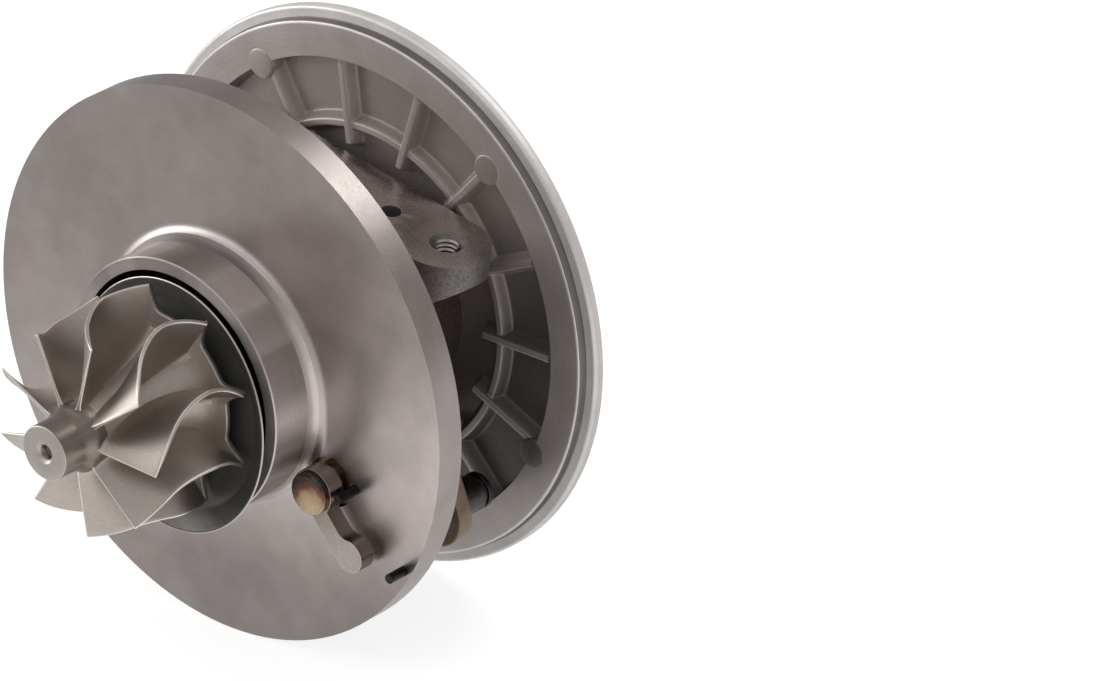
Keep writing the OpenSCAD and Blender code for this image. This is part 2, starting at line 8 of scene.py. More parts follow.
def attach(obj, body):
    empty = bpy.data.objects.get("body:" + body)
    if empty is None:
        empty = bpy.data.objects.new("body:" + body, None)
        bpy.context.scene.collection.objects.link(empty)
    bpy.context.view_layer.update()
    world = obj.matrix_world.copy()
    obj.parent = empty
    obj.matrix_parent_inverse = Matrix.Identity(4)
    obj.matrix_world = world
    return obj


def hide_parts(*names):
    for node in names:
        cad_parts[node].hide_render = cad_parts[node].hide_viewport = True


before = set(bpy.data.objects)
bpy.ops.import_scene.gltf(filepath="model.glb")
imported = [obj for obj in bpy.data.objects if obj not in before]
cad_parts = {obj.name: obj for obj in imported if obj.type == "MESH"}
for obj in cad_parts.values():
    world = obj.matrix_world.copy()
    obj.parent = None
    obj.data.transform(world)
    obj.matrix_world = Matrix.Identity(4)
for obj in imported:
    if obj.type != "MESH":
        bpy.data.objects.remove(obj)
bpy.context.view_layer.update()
scene = bpy.context.scene
scene.view_settings.view_transform = "Standard"
MM = 0.001

# Housing, crank and shield sizes in millimetres, angles in degrees
FLANGE_R = 58.0
FLANGE_T = 6.4
COLLAR_BORE_R = 24.4
COLLAR_FACE_Y = -11.0
# Facing along the shaft at which the fillet's painted highlight ends
FILLET_HIGHLIGHT_END = -0.62
FEED_TOP = 29.2
DRAIN_TOP = -33.9
FEED_SIDE_R, FEED_SIDE_Y, FEED_SIDE_Z = 30.0, 22.0, 19.0
FEED = (27.5, 32.4, 29.3)
DRAIN = ((-31.4, 20.0, -34.0), (21.4, 20.0, -34.0))
CRANK_X, CRANK_Z = 32.015, -10.526
LIP_Y = -14.6
SHIELD_R = 26.0
SHIELD_IN_R = 12.5
SHIELD_DROP, SINK_DIR = 2.9, -59.7
SHIELD_LEAN, LEAN_DIR = 5.1, 140.7

# Turbine wheel sizes
BLADES = 9
BLADE_LEN = 24.0
BLADE_WRAP, WRAP_PEAK = 30.8, 0.64
ROOT_SINK = 0.9
TIP_STEP, TIP_STEP_RUN = 0.27, 0.4
OUT_TIP_R = 21.1
IN_TIP_R = 22.9
DISC_R = 22.9
WEB_R = 17.4
SCALLOP_IN_R = 14.0
SCALLOP_TURN = 22.5
SCALLOP_WIDTH, SCALLOP_POWER = 3.6, 1.6
WHEEL_TURN = 45.0
WHEEL_Y = LIP_Y
OUT_Y = WHEEL_Y - 1.0 - BLADE_LEN
HUB_R = 7.0
HUB_RISE = 10.4
HUB_FULL, HUB_CURVE = 0.985, 2.6
NOSE_R = 5.7
NOSE_Y = OUT_Y - 8.6
AXIS_R = 0.02

# Backplate sizes
PLATE_Y = 42.8
PLATE_R = 59.2
STEP_R = 56.6
SPIGOT_R = 45.0
POCKET_R = 49.4
POCKET_DEEP = 3.5
POCKET_IN_R = 20.2
RIDGE_R = 35.2
RIDGE_SINK = 1.1
RIBS = 15
RIB_TURN = 57.5
RIB_SINK = 0.4
RIB_IN_R = 30.1
RIB_FADE = 1.3
CREST = 0.5
SIDE = 1.6
BLEND = 0.5
WALL_RUN = 1.1
EVEN_BELOW = 5.5
BOSS_TURNS = (57.2, 131.2, 201.9, 272.5, 343.2)
FACE_Y = PLATE_Y + 12.9

# Compressor wheel sizes
CW_Y = FACE_Y + 0.5
CW_LEN = 23.0
CW_END = CW_Y + CW_LEN
CW_R = 28.0
CW_IN_R = 19.6
CW_HUB_R = 6.2
CW_BORE_R = 2.76
CW_BLADES = 6
CW_WRAP, CW_SWEEP = 62, 26
CW_ROOT_SINK = 0.9
SPLITTER_FROM = 0.34

# Materials


def finish(name, metallic, roughness):
    mat = bpy.data.materials.new(name)
    mat.use_nodes = True
    tree = mat.node_tree
    tree.nodes.clear()
    out = tree.nodes.new("ShaderNodeOutputMaterial")
    skin = tree.nodes.new("ShaderNodeBsdfPrincipled")
    tree.links.new(skin.outputs["BSDF"], out.inputs["Surface"])
    skin.inputs["Metallic"].default_value = metallic
    skin.inputs["Roughness"].default_value = roughness
    return mat, tree, skin


def node(tree, kind, values=None, **props):
    made = tree.nodes.new("ShaderNode" + kind)
    for key, value in props.items():
        setattr(made, key, value)
    for key, value in (values or {}).items():
        made.inputs[key].default_value = value
    return made


def join(tree, source, target):
    tree.links.new(source, target)


def object_point(tree):
    return node(tree, "TexCoord").outputs["Object"]


def object_parts(tree):
    parts = node(tree, "SeparateXYZ")
    join(tree, object_point(tree), parts.inputs["Vector"])
    return parts.outputs


def noise(tree, point, scale, detail=4.0, rough=0.55):
    made = node(tree, "TexNoise", {"Scale": scale, "Detail": detail, "Roughness": rough})
    join(tree, point, made.inputs["Vector"])
    return made.outputs["Fac"]


def ramp(tree, value, stops):
    made = node(tree, "ValToRGB")
    ends = made.color_ramp.elements
    ends[0].position, ends[0].color = stops[0][0], (*stops[0][1], 1)
    ends[1].position, ends[1].color = stops[-1][0], (*stops[-1][1], 1)
    for place, colour in stops[1:-1]:
        ends.new(place).color = (*colour, 1)
    join(tree, value, made.inputs["Fac"])
    return made.outputs["Color"]


def span(tree, value, low, high, start=0.0, stop=1.0):
    made = node(tree, "MapRange", {"From Min": start, "From Max": stop, "To Min": low, "To Max": high})
    join(tree, value, made.inputs["Value"])
    return made.outputs["Result"]


def bump(tree, skin, height, strength, distance):
    made = node(tree, "Bump", {"Strength": strength, "Distance": distance})
    join(tree, height, made.inputs["Height"])
    join(tree, made.outputs["Normal"], skin.inputs["Normal"])


def shade(tree, tone, value, stops):
    # A tone made darker or lighter by levels of grey that follow a value
    made = node(tree, "Mix", {0: 1.0}, data_type="RGBA", blend_type="MULTIPLY")
    join(tree, tone, made.inputs[6])
    join(tree, ramp(tree, value, [(place, (level, level, level)) for place, level in stops]), made.inputs[7])
    return made.outputs[2]


def turned_point(tree):
    # Radius from the shaft axis and station along it, for lathe marks
    parts = object_parts(tree)
    flat = node(tree, "CombineXYZ")
    join(tree, parts["X"], flat.inputs["X"])
    join(tree, parts["Z"], flat.inputs["Y"])
    length = node(tree, "VectorMath", operation="LENGTH")
    join(tree, flat.outputs["Vector"], length.inputs[0])
    made = node(tree, "CombineXYZ")
    join(tree, length.outputs["Value"], made.inputs["X"])
    join(tree, parts["Y"], made.inputs["Y"])
    return made.outputs["Vector"]


def around_shaft(tree):
    # Direction of travel round the shaft axis at each point
    parts = object_parts(tree)
    turned = node(tree, "Math", {1: -1.0}, operation="MULTIPLY")
    join(tree, parts["X"], turned.inputs[0])
    made = node(tree, "CombineXYZ")
    join(tree, parts["Z"], made.inputs["X"])
    join(tree, turned.outputs["Value"], made.inputs["Z"])
    world = node(tree, "VectorTransform", vector_type="VECTOR", convert_from="OBJECT", convert_to="WORLD")
    join(tree, made.outputs["Vector"], world.inputs["Vector"])
    return world.outputs["Vector"]


def darken_as_painted_shade(tree, tone, direction, start, stop, darkest):
    # Painted shade: the colour grows darker along a direction of the piece
    along = node(tree, "VectorMath", {1: direction}, operation="DOT_PRODUCT")
    join(tree, object_point(tree), along.inputs[0])
    limits = {"From Min": start * MM, "From Max": stop * MM, "To Min": 1.0, "To Max": darkest}
    made = node(tree, "MapRange", limits, interpolation_type="SMOOTHSTEP")
    join(tree, along.outputs["Value"], made.inputs["Value"])
    return shade(tree, tone, made.outputs["Result"], [(0.0, 0.0), (1.0, 1.0)])


def painted_reflection_bands(tree, tone, low, high):
    # Painted reflection: soft light and dark bands that run along the shaft
    flat = node(tree, "VectorMath", {1: (1.0, 0.0, 1.0)}, operation="MULTIPLY")
    join(tree, object_point(tree), flat.inputs[0])
    outward = node(tree, "VectorMath", operation="NORMALIZE")
    join(tree, flat.outputs["Vector"], outward.inputs[0])
    streak = noise(tree, outward.outputs["Vector"], 2.7, 1, 0.4)
    return shade(tree, tone, streak, [(0.40, low), (0.57, high)])


def turned_metal(name, dark, light, roughness, lines=2600, marks=0.06, anisotropy=0.0, metallic=1.0,
                 painted_shade=None, reflection_bands=None):
    # Lathe-turned metal with fine rings about the shaft axis
    mat, tree, skin = finish(name, metallic, roughness)
    point = object_point(tree)
    cloud = noise(tree, point, 26, 4)
    grain = noise(tree, point, 2400, 2, 0.5)
    ring = noise(tree, turned_point(tree), lines, 2, 0.7)
    mottle = noise(tree, point, 150, 3)
    tone = ramp(tree, cloud, [(0.3, dark), (0.7, light)])
    tone = shade(tree, tone, mottle, [(0.3, 0.92), (0.7, 1.06)])
    tone = shade(tree, tone, grain, [(0.3, 0.95), (0.7, 1.04)])
    tone = shade(tree, tone, ring, [(0.3, 0.95), (0.7, 1.04)])
    if painted_shade:
        tone = darken_as_painted_shade(tree, tone, *painted_shade)
    if reflection_bands:
        tone = painted_reflection_bands(tree, tone, *reflection_bands)
    join(tree, tone, skin.inputs["Base Color"])
    join(tree, span(tree, grain, roughness - 0.04, roughness + 0.05, 0.3, 0.7), skin.inputs["Roughness"])
    bump(tree, skin, ring, marks, 0.00004)
    if anisotropy:
        skin.inputs["Anisotropic"].default_value = anisotropy
        join(tree, around_shaft(tree), skin.inputs["Tangent"])
    return mat


def cast_metal(name, dark, light, metallic, roughness, grain, depth, pits, painted_shade=None):
    # Cast metal with a grain of small pits
    mat, tree, skin = finish(name, metallic, roughness)
    point = object_point(tree)
    cloud = noise(tree, point, 60, 5)
    rough = noise(tree, point, grain, 5, 0.62)
    tone = ramp(tree, cloud, [(0.28, dark), (0.72, light)])
    tone = shade(tree, tone, rough, [(0.32, pits), (0.5, 1.0), (0.75, 1.10)])
    if painted_shade:
        tone = darken_as_painted_shade(tree, tone, *painted_shade)
    join(tree, tone, skin.inputs["Base Color"])
    join(tree, span(tree, rough, roughness + 0.07, roughness - 0.06, 0.3, 0.7), skin.inputs["Roughness"])
    bump(tree, skin, rough, 0.5, depth)
    return mat


def plain_metal(name, dark, light, roughness):
    mat, tree, skin = finish(name, 1.0, roughness)
    point = object_point(tree)
    fine = noise(tree, point, 300, 4)
    join(tree, ramp(tree, fine, [(0.3, dark), (0.7, light)]), skin.inputs["Base Color"])
    join(tree, span(tree, fine, roughness - 0.06, roughness + 0.08, 0.3, 0.7), skin.inputs["Roughness"])
    bump(tree, skin, noise(tree, point, 1500, 2), 0.15, 0.00002)
    return mat


def rubber(name, dark, light):
    mat, tree, skin = finish(name, 0.0, 0.45)
    point = object_point(tree)
    fine = noise(tree, point, 220, 4)
    join(tree, ramp(tree, fine, [(0.3, dark), (0.7, light)]), skin.inputs["Base Color"])
    join(tree, span(tree, fine, 0.38, 0.55, 0.3, 0.7), skin.inputs["Roughness"])
    bump(tree, skin, noise(tree, point, 2600, 2), 0.12, 0.00002)
    return mat


def tinted_steel(name, centre, reach, stops, roughness):
    # Colours spread out from one point of the piece: heat colours, and on the crank head also painted shade and a
    # painted highlight
    mat, tree, skin = finish(name, 1.0, roughness)
    point = object_point(tree)
    away = node(tree, "VectorMath", {1: tuple(c * MM for c in centre)}, operation="DISTANCE")
    join(tree, point, away.inputs[0])
    wander = noise(tree, point, 420, 3)
    far = span(tree, away.outputs["Value"], 0.0, 1.0, 0.0, reach * MM)
    mixed = node(tree, "Math", operation="ADD")
    join(tree, far, mixed.inputs[0])
    join(tree, span(tree, wander, -0.12, 0.12), mixed.inputs[1])
    tone = ramp(tree, mixed.outputs["Value"], stops)
    fine = noise(tree, point, 1500, 3)
    tone = shade(tree, tone, fine, [(0.3, 0.8), (0.7, 1.12)])
    join(tree, tone, skin.inputs["Base Color"])
    join(tree, span(tree, fine, roughness - 0.06, roughness + 0.1, 0.3, 0.7), skin.inputs["Roughness"])
    bump(tree, skin, fine, 0.2, 0.00003)
    return mat


# Finishes of the housing
# The flange finish darkens towards the bottom as painted shade, toning down the floor's reflection there
machined_iron = turned_metal("machined_iron", (0.430, 0.383, 0.366), (0.570, 0.511, 0.488), 0.33,
                             anisotropy=0.55, painted_shade=((0.25, 0.0, -0.968), 18.0, 45.0, 0.50))
rim_iron = turned_metal("rim_iron", (0.275, 0.244, 0.232), (0.320, 0.285, 0.272), 0.36, anisotropy=0.3)
# The collar finish darkens towards its top as painted shade and carries painted reflection bands along the shaft
collar_iron = turned_metal("collar_iron", (0.660, 0.600, 0.572), (0.740, 0.675, 0.645), 0.34,
                           anisotropy=0.3, metallic=0.5, painted_shade=((-0.45, 0.0, 0.89), 6.0, 26.0, 0.58),
                           reflection_bands=(0.55, 1.10))
# Painted highlight on the part of the collar fillet turned out from the flange, darker towards its top as painted
# shade
fillet_highlight_iron = turned_metal("fillet_highlight_iron", (0.740, 0.680, 0.650), (0.820, 0.755, 0.722), 0.34,
                           anisotropy=0.3, metallic=0.6, painted_shade=((-0.5, 0.0, 0.866), -2.0, 24.0, 0.30))
# The collar face carries painted reflection bands
collar_face = turned_metal("collar_face", (0.430, 0.388, 0.366), (0.520, 0.472, 0.447), 0.42,
                           metallic=0.3, reflection_bands=(0.75, 1.10))
pad_side = cast_metal("pad_side", (0.190, 0.172, 0.160), (0.270, 0.248, 0.232), metallic=0.6, roughness=0.5,
                      grain=1700, depth=0.00012, pits=0.6)
pad_iron = cast_metal("pad_iron", (0.520, 0.466, 0.442), (0.600, 0.540, 0.514), metallic=1.0, roughness=0.28,
                      grain=2600, depth=0.000004, pits=0.97)
raw_iron = cast_metal("raw_iron", (0.085, 0.066, 0.052), (0.145, 0.118, 0.096), metallic=0.5, roughness=0.55,
                      grain=1500, depth=0.00022, pits=0.6)
thread_bright = plain_metal("thread_bright", (0.36, 0.34, 0.32), (0.46, 0.435, 0.41), 0.30)
# Painted highlight on the rounded edges of the housing, the lever and the turbine blades
painted_edge_highlight = plain_metal("painted_edge_highlight", (0.78, 0.73, 0.69), (0.88, 0.83, 0.79), 0.34)

# Finishes of the shield and the turbine wheel
# The shield bowl is dark partly from oxide and partly as painted shade behind the wheel; its lip carries a painted
# highlight
shield_oxide_and_shade = cast_metal("shield_oxide_and_shade", (0.085, 0.083, 0.070), (0.128, 0.125, 0.107), metallic=0.4, roughness=0.42,
                         grain=1500, depth=0.00002, pits=0.9)
shield_lip_highlight = plain_metal("shield_lip_highlight", (0.46, 0.44, 0.41), (0.56, 0.54, 0.50), 0.34)
wheel_alloy = cast_metal("wheel_alloy", (0.450, 0.405, 0.370), (0.540, 0.488, 0.447), metallic=1.0, roughness=0.45,
                         grain=2600, depth=0.00001, pits=0.95)
# The nose side carries faint painted reflection bands
nose_ground = turned_metal("nose_ground", (0.200, 0.172, 0.150), (0.270, 0.235, 0.208), 0.32,
                           lines=3000, marks=0.15, reflection_bands=(0.90, 1.10))
nose_face = turned_metal("nose_face", (0.540, 0.500, 0.455), (0.640, 0.598, 0.550), 0.36,
                         lines=3000, marks=0.15, metallic=0.6)

# Finishes of the backplate
# The cast plate darkens towards the bottom on the +X side, a painted shadow of the flange on the pockets there
plate_cast = cast_metal("plate_cast", (0.385, 0.345, 0.325), (0.475, 0.428, 0.404), metallic=0.5, roughness=0.46,
                        grain=1800, depth=0.00005, pits=0.88, painted_shade=((0.75, 0.0, -0.66), 4.0, 24.0, 0.42))
# Turned finish of the plate's rim face, also put on rib and ridge crests as a painted highlight
plate_turned_and_crest_highlight = turned_metal("plate_turned_and_crest_highlight", (0.53, 0.487, 0.467), (0.60, 0.553, 0.530), 0.46,
                            anisotropy=0.3, metallic=0.55)
plate_band = turned_metal("plate_band", (0.72, 0.685, 0.665), (0.80, 0.765, 0.745), 0.46,
                          anisotropy=0.3, metallic=0.35)
# Painted highlight lines on the rim's edges
plate_edge_highlight = turned_metal("plate_edge_highlight", (0.80, 0.775, 0.755), (0.88, 0.855, 0.835), 0.36, metallic=0.5)
# Painted shade on the rim's outward step
plate_step_shade = turned_metal("plate_step_shade", (0.200, 0.184, 0.172), (0.270, 0.250, 0.236), 0.40, metallic=0.7)

# Finishes of the smaller pieces
bronze = plain_metal("bronze", (0.50, 0.34, 0.17), (0.64, 0.46, 0.25), 0.35)
bush_tan = plain_metal("bush_tan", (0.34, 0.235, 0.150), (0.46, 0.33, 0.22), 0.45)
ground_steel = plain_metal("ground_steel", (0.52, 0.52, 0.51), (0.63, 0.62, 0.61), 0.26)
ring_iron = plain_metal("ring_iron", (0.25, 0.24, 0.23), (0.33, 0.32, 0.31), 0.38)
screw_dark = plain_metal("screw_dark", (0.09, 0.09, 0.09), (0.15, 0.15, 0.15), 0.40)
dowel_black = plain_metal("dowel_black", (0.018, 0.017, 0.016), (0.040, 0.038, 0.036), 0.38)
stud_dark = plain_metal("stud_dark", (0.045, 0.045, 0.046), (0.085, 0.083, 0.083), 0.34)
blade_silver = turned_metal("blade_silver", (0.62, 0.62, 0.61), (0.72, 0.72, 0.71), 0.28, lines=1200, marks=0.12)
seal_black = rubber("seal_black", (0.012, 0.012, 0.012), (0.030, 0.030, 0.030))
seal_red = rubber("seal_red", (0.24, 0.045, 0.022), (0.34, 0.075, 0.038))
# Heat colours of the crank head are its own; the dark band past them is partly painted shade under the head, and the
# silver band beyond is a painted highlight on the hub
head_heat_tint_shade_highlight = tinted_steel("head_heat_tint_shade_highlight", (CRANK_X + 1.6, -7.0, CRANK_Z - 2.6), 12.0,
                         [(0.0, (0.50, 0.39, 0.26)), (0.26, (0.40, 0.29, 0.19)), (0.38, (0.18, 0.075, 0.050)),
                          (0.50, (0.085, 0.062, 0.055)), (0.66, (0.12, 0.105, 0.095)), (0.82, (0.70, 0.68, 0.66)),
                          (1.0, (0.62, 0.60, 0.58))], 0.32)
lever_tint = tinted_steel("lever_tint", (CRANK_X, -5.0, CRANK_Z), 19.0,
                          [(0.0, (0.20, 0.14, 0.100)), (0.3, (0.32, 0.275, 0.235)), (0.7, (0.41, 0.368, 0.345)),
                           (1.0, (0.40, 0.360, 0.338))], 0.38)
lever_side = plain_metal("lever_side", (0.250, 0.212, 0.178), (0.350, 0.305, 0.265), 0.32)
# Darker brown, partly oxide and partly painted shade on the arm's faces turned from the light
arm_tan = plain_metal("arm_tan", (0.150, 0.108, 0.075), (0.240, 0.180, 0.130), 0.46)

# Mesh helpers


def add_piece(name, bm, body, mats, smooth=35.0, stands_for=()):
    mesh = bpy.data.meshes.new(name)
    bm.to_mesh(mesh)
    bm.free()
    for mat in mats:
        mesh.materials.append(mat)
    mesh.shade_smooth()
    mesh.set_sharp_from_angle(angle=math.radians(smooth))
    made = bpy.data.objects.new(name, mesh)
    scene.collection.objects.link(made)
    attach(made, body)
    if stands_for:
        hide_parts(*stands_for)
    return made


def settle(bm, merge=1e-7):
    bmesh.ops.remove_doubles(bm, verts=bm.verts, dist=merge)
    bmesh.ops.recalc_face_normals(bm, faces=bm.faces)


def close_ends(bm):
    bmesh.ops.holes_fill(bm, edges=[e for e in bm.edges if len(e.link_faces) == 1], sides=0)
    settle(bm)


def verts_of(geom):
    return [g for g in geom if isinstance(g, bmesh.types.BMVert)]


def about_shaft(turn, size=3):
    return Matrix.Rotation(-math.radians(turn), size, "Y")


def at(radius, turn, station):
    # Point at a radius and direction about the shaft axis, in metres
    a = math.radians(turn)
    return Vector((radius * math.cos(a) * MM, station * MM, radius * math.sin(a) * MM))


def lathe(outline, steps, closed=True):
    # Spin an outline of (radius, station) points about the shaft axis
    bm = bmesh.new()
    dots = [bm.verts.new(at(r, 0, y)) for r, y in outline]
    pairs = list(zip(dots, dots[1:])) + ([(dots[-1], dots[0])] if closed else [])
    for a, b in pairs:
        bm.edges.new((a, b))
    bmesh.ops.spin(bm, geom=bm.verts[:] + bm.edges[:], cent=(0, 0, 0), axis=(0, 1, 0), dvec=(0, 0, 0),
                   angle=math.tau, steps=steps, use_merge=True, use_duplicate=False)
    settle(bm)
    return bm


def soften(bm, width, material=-1):
    # Round every edge sharper than 50 degrees
    limit = math.radians(50.0)
    sharp = [e for e in bm.edges if len(e.link_faces) == 2 and e.calc_face_angle(0.0) > limit]
    bmesh.ops.bevel(bm, geom=sharp, offset=width * MM, offset_type="OFFSET", affect="EDGES", segments=2,
                    profile=0.5, material=material, clamp_overlap=True)


def node_copy(name):
    # A merged copy of a CAD node's mesh with its flat faces joined up
    bm = bmesh.new()
    bm.from_mesh(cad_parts[name].data)
    bmesh.ops.remove_doubles(bm, verts=bm.verts, dist=2e-6)
    bmesh.ops.dissolve_limit(bm, angle_limit=math.radians(0.3), verts=bm.verts, edges=bm.edges)
    return bm


def dress(name, body, mats, edge=0.2, smooth=35.0, segments=2, edge_finish=None):
    # A CAD node with smooth curves and small rounded edges
    made = add_piece(name + "_dressed", node_copy(name), body, mats, smooth, (name,))
    if edge:
        rounded = made.modifiers.new("edges", "BEVEL")
        rounded.width = edge * MM
        rounded.segments = segments
        rounded.limit_method = "ANGLE"
        rounded.angle_limit = math.radians(30)
        rounded.harden_normals = True
        rounded.miter_outer = "MITER_ARC"
        if edge_finish:
            rounded.material = mats.index(edge_finish)
    return made


# Bladed wheels


def ease(s):
    s = min(1.0, max(0.0, s))
    return s * s * (3 - 2 * s)


def mix(a, b, s):
    return a + (b - a) * s


def turbine_hub(y):
    s = min(1.0, max(0.0, (y - OUT_Y) / BLADE_LEN))
    return HUB_R + HUB_RISE * (1 - math.sqrt(1 - (HUB_FULL * s) ** HUB_CURVE))


def turbine_tip(y):
    return mix(OUT_TIP_R, IN_TIP_R, ease((y - OUT_Y - TIP_STEP * BLADE_LEN) / (TIP_STEP_RUN * BLADE_LEN)))


def turbine_camber(t, s):
    # Middle of a turbine blade, t along it from the nose side and s from hub to tip
    y = mix(OUT_Y - 0.8 * (1 - s) * (1 - t), WHEEL_Y - 0.6, t)
    turn = BLADE_WRAP * (1 - (1 - t / WRAP_PEAK) ** 2)
    return at(mix(turbine_hub(y) - ROOT_SINK, turbine_tip(y), s), turn, y)


def compressor_camber(t, s):
    # Middle of a compressor blade, t along it from the nut side and s from hub to tip
    c, n = 1 - math.cos(math.pi / 2 * t), math.sin(math.pi / 2 * t)
    hub_r, hub_y = CW_HUB_R + (CW_R - CW_HUB_R) * c, CW_END - 1.5 - (CW_LEN - 3) * n
    tip_r, tip_y = CW_IN_R + (CW_R - CW_IN_R) * c, CW_END - 2.2 - (CW_LEN - 6.6) * n
    turn = CW_WRAP * max(0.0, 1 - t) ** 1.7 - CW_SWEEP * t * t
    return at(mix(hub_r - 0.7 * (1 - t), tip_r, s), turn, mix(hub_y - CW_ROOT_SINK, tip_y, s))


def blade(camber, first, along, across, thickness):
    # Two sides of a blade bent from flat grids and joined round their border
    bm = bmesh.new()
    borders = []
    for side in (1, -1):
        made = bmesh.ops.create_grid(bm, x_segments=along, y_segments=across, size=1.0)["verts"]
        for v in made:
            t = mix(first, 1.0, (v.co.x + 1) / 2)
            s = (v.co.y + 1) / 2
            nudge = 0.004
            down = camber(t + nudge, s) - camber(t - nudge, s)
            out = camber(t, s + nudge) - camber(t, s - nudge)
            v.co = camber(t, s) + down.cross(out).normalized() * (side * thickness(t, s) * MM / 2)
        faces = {f for v in made for f in v.link_faces}
        borders += [e for f in faces for e in f.edges if len(e.link_faces) == 1]
    bmesh.ops.bridge_loops(bm, edges=list(set(borders)))
    settle(bm)
    return bm


def circle_of(bm, count, start=0.0):
    # Copies of the shape in a bmesh round the shaft axis
    base = bm.verts[:] + bm.edges[:] + bm.faces[:]
    bmesh.ops.rotate(bm, verts=bm.verts, cent=(0, 0, 0), matrix=about_shaft(start))
    for i in range(1, count):
        copy = bmesh.ops.duplicate(bm, geom=base)["geom"]
        bmesh.ops.rotate(bm, verts=verts_of(copy), cent=(0, 0, 0), matrix=about_shaft(360.0 * i / count))


def turbine_blade_thickness(t, s):
    # Thin at the nose side, thick at the root
    edge = min(1.0, 0.45 + 6.0 * t)
    return (mix(1.5, 0.85, s) + 2.4 * math.exp(-s / 0.05)) * edge


def compressor_blade_thickness(t, s):
    return mix(1.1, 0.65, s) + 1.2 * math.exp(-s / 0.06)


def scallop(turn):
    # Radius of the wheel's back disc, full at each blade and cut in between
    pitch = 360.0 / BLADES
    away = abs((turn - SCALLOP_TURN - WHEEL_TURN + pitch / 2) % pitch - pitch / 2)
    return WEB_R + (IN_TIP_R + 0.1 - WEB_R) * math.exp(-((away / SCALLOP_WIDTH) ** SCALLOP_POWER))


def turbine_wheel():
    bm = blade(turbine_camber, 0.0, 40, 18, turbine_blade_thickness)
    finishes = [wheel_alloy, painted_edge_highlight]
    # The blade edges get the painted highlight finish
    soften(bm, 0.18, finishes.index(painted_edge_highlight))
    circle_of(bm, BLADES, WHEEL_TURN)
    add_piece("turbine_blades", bm, "rotor", finishes, 45.0, ("turbine_wheel",))
    outline = [(AXIS_R, NOSE_Y + 1.6), (1.0, NOSE_Y + 1.5), (1.5, NOSE_Y + 0.6), (2.1, NOSE_Y + 0.05), (2.35, NOSE_Y),
               (NOSE_R - 0.35, NOSE_Y), (NOSE_R - 0.17, NOSE_Y + 0.06), (NOSE_R - 0.05, NOSE_Y + 0.18),
               (NOSE_R, NOSE_Y + 0.36), (NOSE_R, OUT_Y - 3.4), (NOSE_R + 0.25, OUT_Y - 2.4), (6.5, OUT_Y - 1.5)]
    outline += [(turbine_hub(y), y) for y in (mix(OUT_Y - 0.6, WHEEL_Y - 1.9, i / 18) for i in range(19))]
    outline += [(18.6, WHEEL_Y - 1.5), (20.2, WHEEL_Y - 1.3), (22.4, WHEEL_Y - 1.15), (DISC_R, WHEEL_Y - 0.9),
                (DISC_R, WHEEL_Y - 0.2), (22.6, WHEEL_Y), (8.0, WHEEL_Y), (AXIS_R, WHEEL_Y)]
    bm = lathe(outline, 360, closed=False)
    for v in bm.verts:
        r = math.hypot(v.co.x, v.co.z) / MM
        if v.co.y / MM > WHEEL_Y - 2.6 and r > SCALLOP_IN_R:
            reach = scallop(math.degrees(math.atan2(v.co.z, v.co.x))) - SCALLOP_IN_R
            shrunk = SCALLOP_IN_R + (r - SCALLOP_IN_R) * reach / (DISC_R - SCALLOP_IN_R)
            v.co.x *= shrunk / r
            v.co.z *= shrunk / r
    close_ends(bm)
    finishes = [wheel_alloy, nose_ground, nose_face]
    for f in bm.faces:
        y = f.calc_center_median().y / MM
        if y < NOSE_Y + 0.4 and f.normal.y < -0.5:
            f.material_index = finishes.index(nose_face)
        elif y < OUT_Y + 2.5:
            f.material_index = finishes.index(nose_ground)
    add_piece("turbine_hub", bm, "rotor", finishes, 40.0)


def compressor_wheel():
    bm = blade(compressor_camber, 0.0, 30, 12, compressor_blade_thickness)
    soften(bm, 0.14)
    circle_of(bm, CW_BLADES)
    add_piece("compressor_blades", bm, "rotor", [blade_silver], 45.0, ("compressor_wheel",))
    bm = blade(compressor_camber, SPLITTER_FROM, 22, 12, compressor_blade_thickness)
    soften(bm, 0.14)
    circle_of(bm, CW_BLADES, 180.0 / CW_BLADES)
    add_piece("compressor_splitters", bm, "rotor", [blade_silver], 45.0)
    outline = [(CW_BORE_R, CW_Y), (CW_R - 0.4, CW_Y), (CW_R, CW_Y + 0.4), (CW_R, CW_Y + 1.0)]
    for i in range(25):
        t = math.pi / 2 * (1 - i / 24)
        station = CW_END - 0.6 - (CW_LEN - 1.7) * math.sin(t)
        outline.append((CW_HUB_R + (CW_R - CW_HUB_R) * (1 - math.cos(t)), station))
    outline += [(5.6, CW_END - 0.5), (5.4, CW_END - 0.3), (5.3, CW_END), (CW_BORE_R, CW_END)]
    add_piece("compressor_hub", lathe(outline, 180), "rotor", [blade_silver], 40.0)


# Ribbed backplate


def soft_min(a, b, k):
    h = max(k - abs(a - b), 0.0) / k
    return min(a, b) - h * h * k / 4


def pocket(radius, off_rib):
    # How deep the casting lies below its rim at a radius and a distance from the nearest rib
    rib = RIB_SINK + (POCKET_DEEP - RIB_SINK) * ease((off_rib - CREST) / SIDE)
    rib = mix(POCKET_DEEP, rib, ease((radius - RIB_IN_R) / RIB_FADE))
    ridge = RIDGE_SINK + (POCKET_DEEP - RIDGE_SINK) * ease((abs(radius - RIDGE_R) - CREST) / SIDE)
    wall = POCKET_DEEP * math.sin(min(1.0, max(0.0, POCKET_R - radius) / WALL_RUN) * math.pi / 2)
    return max(0.0, min(soft_min(rib, ridge, BLEND), wall))


